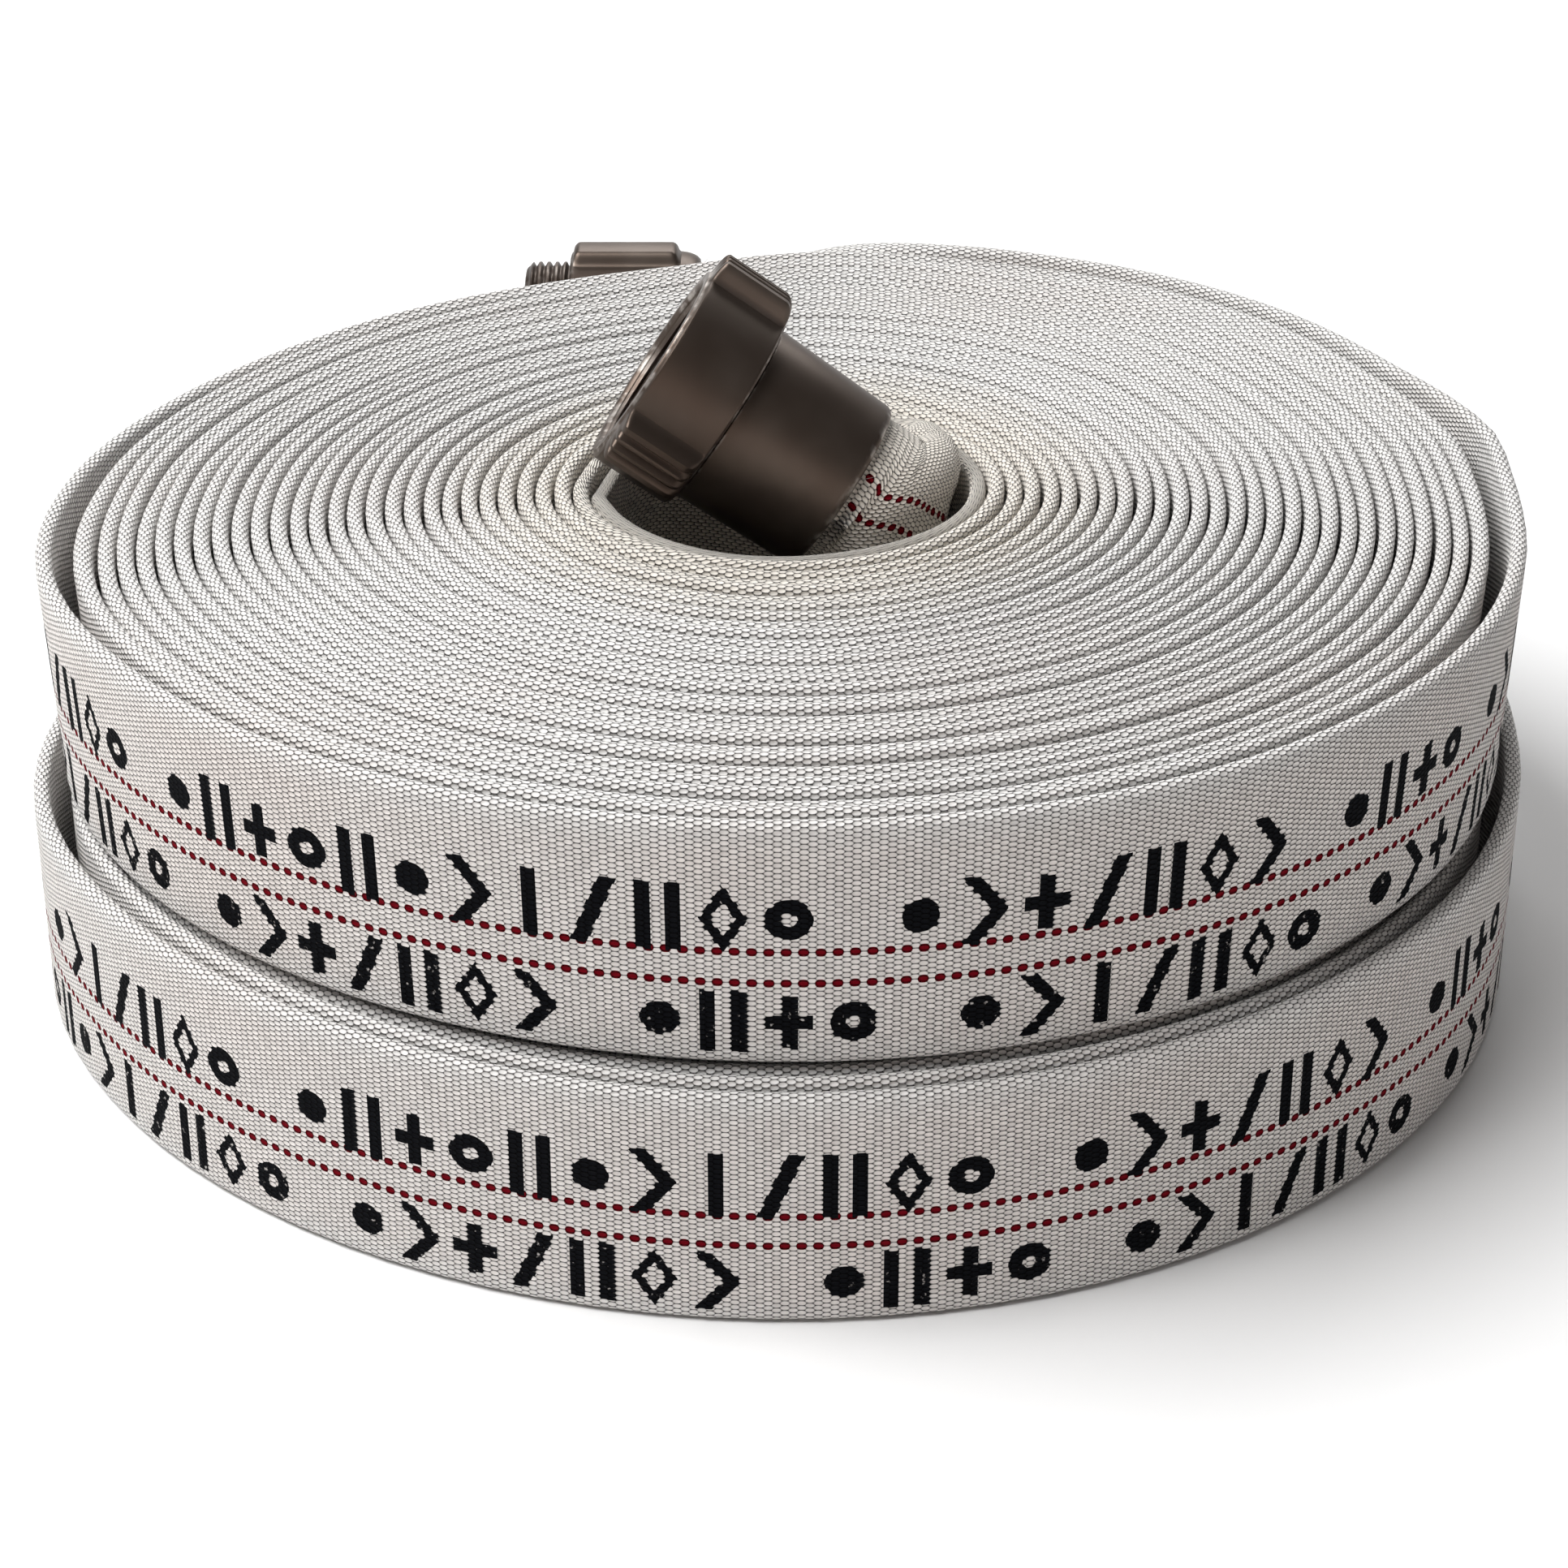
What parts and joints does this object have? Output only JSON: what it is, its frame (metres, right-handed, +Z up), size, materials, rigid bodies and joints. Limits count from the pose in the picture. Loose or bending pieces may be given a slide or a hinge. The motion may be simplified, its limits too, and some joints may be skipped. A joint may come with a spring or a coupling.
{
  "type": "rolled fire hose",
  "caption": "Flat-rolled woven fire hoses stacked one on another, each with a swivelling female coupling in the middle and a male coupling outside.",
  "frame": {"origin": "middle of the stack's bounding box in plan, on the floor that the lower roll rests on", "axes": "+Z up, along the rolls' common axis; -Y is the front and +Y the side where the male couplings lie, their threads pointing to -X"},
  "size_m": [0.417, 0.455, 0.1968],
  "materials": {
    "woven_jacket": "plain woven polyester, off-white, matt with a faint sheen",
    "rubber_lining": "smooth matt",
    "anodised_aluminium": "hard anodised, satin, dark bronze grey",
    "black_rubber": "matt",
    "steel": "bright drawn",
    "brass": "bare, as turned"
  },
  "bodies": {
    "lower_roll": {"lower_rolled_turns": "woven_jacket", "lower_inner_end_jacket": "woven_jacket", "lower_inner_end_lining": "rubber_lining", "lower_outer_end_jacket": "woven_jacket", "lower_outer_end_lining": "rubber_lining", "lower_female_bowl": "anodised_aluminium", "lower_female_expansion_ring": "brass", "lower_female_tail_gasket": "black_rubber", "lower_retaining_wire": "steel", "lower_swivel_o_ring": "black_rubber", "lower_male_body": "anodised_aluminium", "lower_male_expansion_ring": "brass", "lower_male_tail_gasket": "black_rubber"},
    "lower_swivel": {"lower_swivel": "anodised_aluminium", "lower_swivel_gasket": "black_rubber", "lower_fill_plug": "steel"},
    "upper_roll": {"upper_rolled_turns": "woven_jacket", "upper_inner_end_jacket": "woven_jacket", "upper_inner_end_lining": "rubber_lining", "upper_outer_end_jacket": "woven_jacket", "upper_outer_end_lining": "rubber_lining", "upper_female_bowl": "anodised_aluminium", "upper_female_expansion_ring": "brass", "upper_female_tail_gasket": "black_rubber", "upper_retaining_wire": "steel", "upper_swivel_o_ring": "black_rubber", "upper_male_body": "anodised_aluminium", "upper_male_expansion_ring": "brass", "upper_male_tail_gasket": "black_rubber"},
    "upper_swivel": {"upper_swivel": "anodised_aluminium", "upper_swivel_gasket": "black_rubber", "upper_fill_plug": "steel"}
  },
  "joints": [
    {"name": "lower_swivel_spin", "type": "hinge", "parent": "lower_roll", "child": "lower_swivel", "pos_m": [0.026, -0.02097, 0.029], "axis": [-0.9082, 0.0987, 0.4067], "continuous": true},
    {"name": "upper_roll_lift", "type": "slide", "parent": "lower_roll", "child": "upper_roll", "axis": [0, 0, 1], "range_m": [0, 0.16]},
    {"name": "upper_swivel_spin", "type": "hinge", "parent": "upper_roll", "child": "upper_swivel", "pos_m": [0.016, -0.01897, 0.1309], "axis": [-0.829, 0.0901, 0.5519], "continuous": true}
  ]
}
